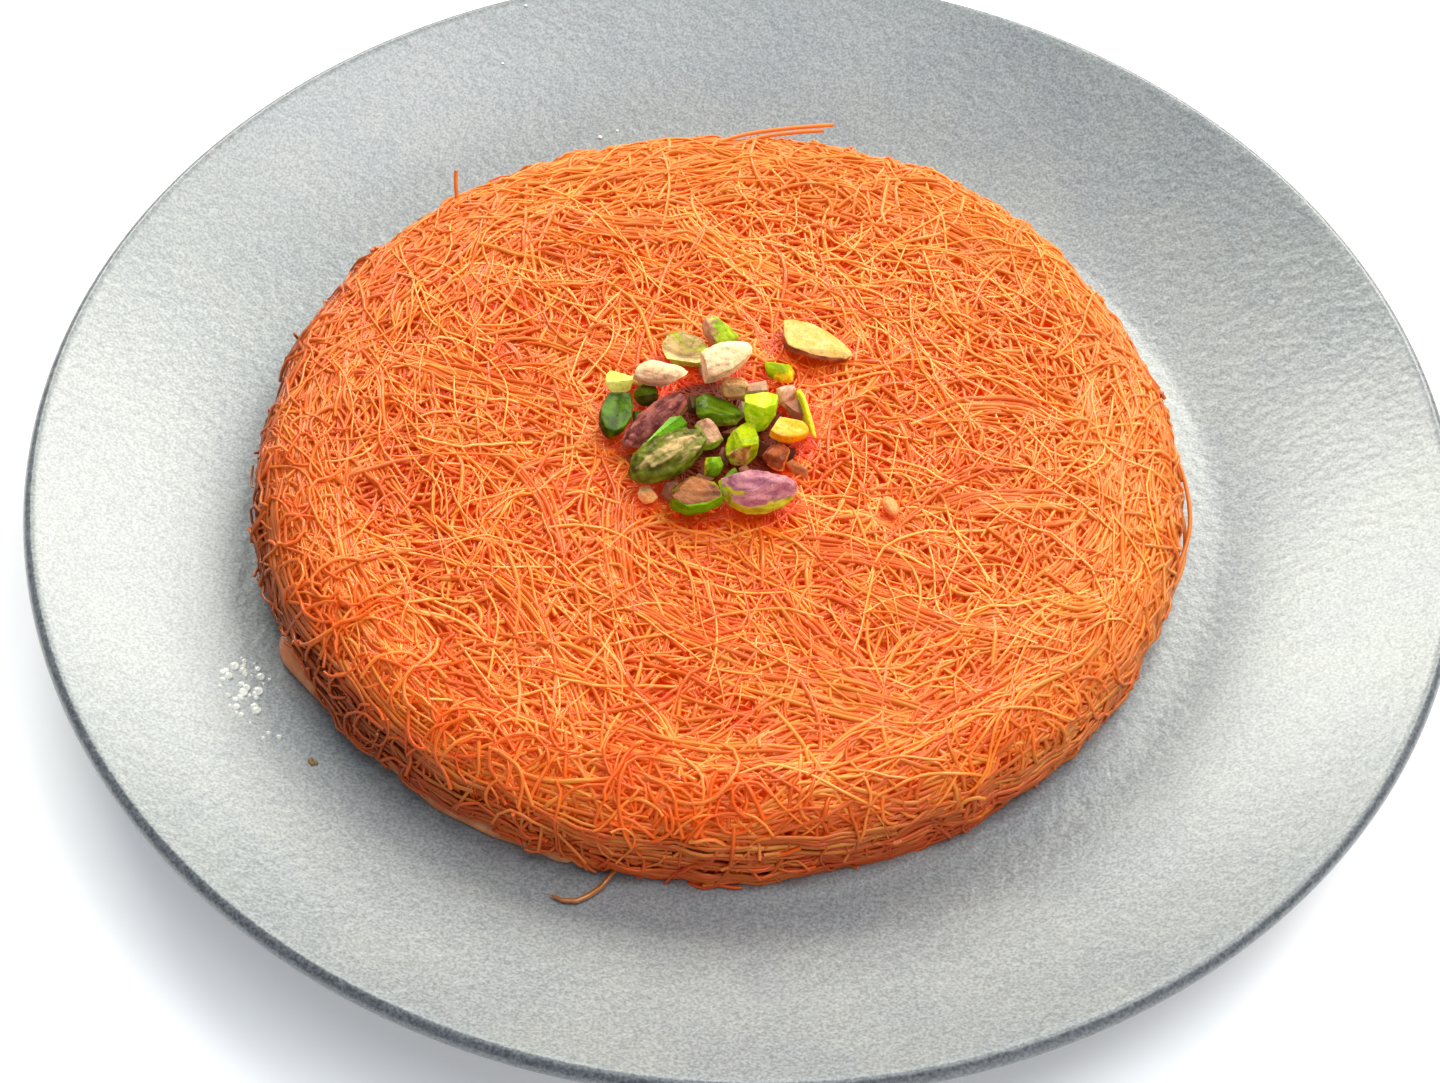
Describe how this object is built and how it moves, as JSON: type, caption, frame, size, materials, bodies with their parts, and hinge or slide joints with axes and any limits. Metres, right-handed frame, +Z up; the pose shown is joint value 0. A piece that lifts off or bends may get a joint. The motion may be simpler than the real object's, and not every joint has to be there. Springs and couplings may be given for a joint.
{
  "type": "cheese kunafa on a plate",
  "caption": "Round cheese kunafa with a crust of shredded pastry strands, chopped pistachios on its middle, on a shallow grey coupe plate.",
  "frame": {"origin": "centre of the plate's foot, on the surface that it stands on", "axes": "+Z up; +X to the right and +Y to the far side, as the plate faces the person who eats from it"},
  "size_m": [0.25, 0.25, 0.0332],
  "materials": {
    "plate_glaze": "satin grey speckled glaze with a fine pebbled relief, darker on the lip",
    "crust": null,
    "cheese": null,
    "strand_dark": null,
    "nut_green": null,
    "nut_lime": null,
    "nut_yellow": null,
    "nut_cream": null,
    "nut_skin": null,
    "nut_brown": null
  },
  "bodies": {
    "root": {"plate": "plate_glaze", "kunafa_crust": "crust", "cheese_layer": "cheese", "loose_strand": "strand_dark", "nut_left_green": "nut_green", "nut_left_tip": "nut_lime", "nut_under_left": "nut_green", "nut_cup": "nut_green", "nut_back_green": "nut_green", "nut_middle_half": "nut_green", "nut_back_brown": "nut_brown", "nut_purple_back": "nut_skin", "nut_small_green": "nut_lime", "nut_lime_block": "nut_lime", "nut_sliver_right": "nut_lime", "nut_yellow": "nut_yellow", "nut_brown_flake": "nut_brown", "nut_wedge": "nut_lime", "nut_skin_chip": "nut_skin", "nut_dark_bit": "nut_green", "nut_block_front": "nut_lime", "nut_purple_front": "nut_skin", "nut_tan": "nut_cream", "nut_pale": "nut_cream", "nut_mauve": "nut_skin", "nut_big_green": "nut_green", "nut_slice": "nut_cream", "nut_crumb_tan": "nut_cream", "nut_crumb_pale": "nut_cream"}
  },
  "joints": []
}
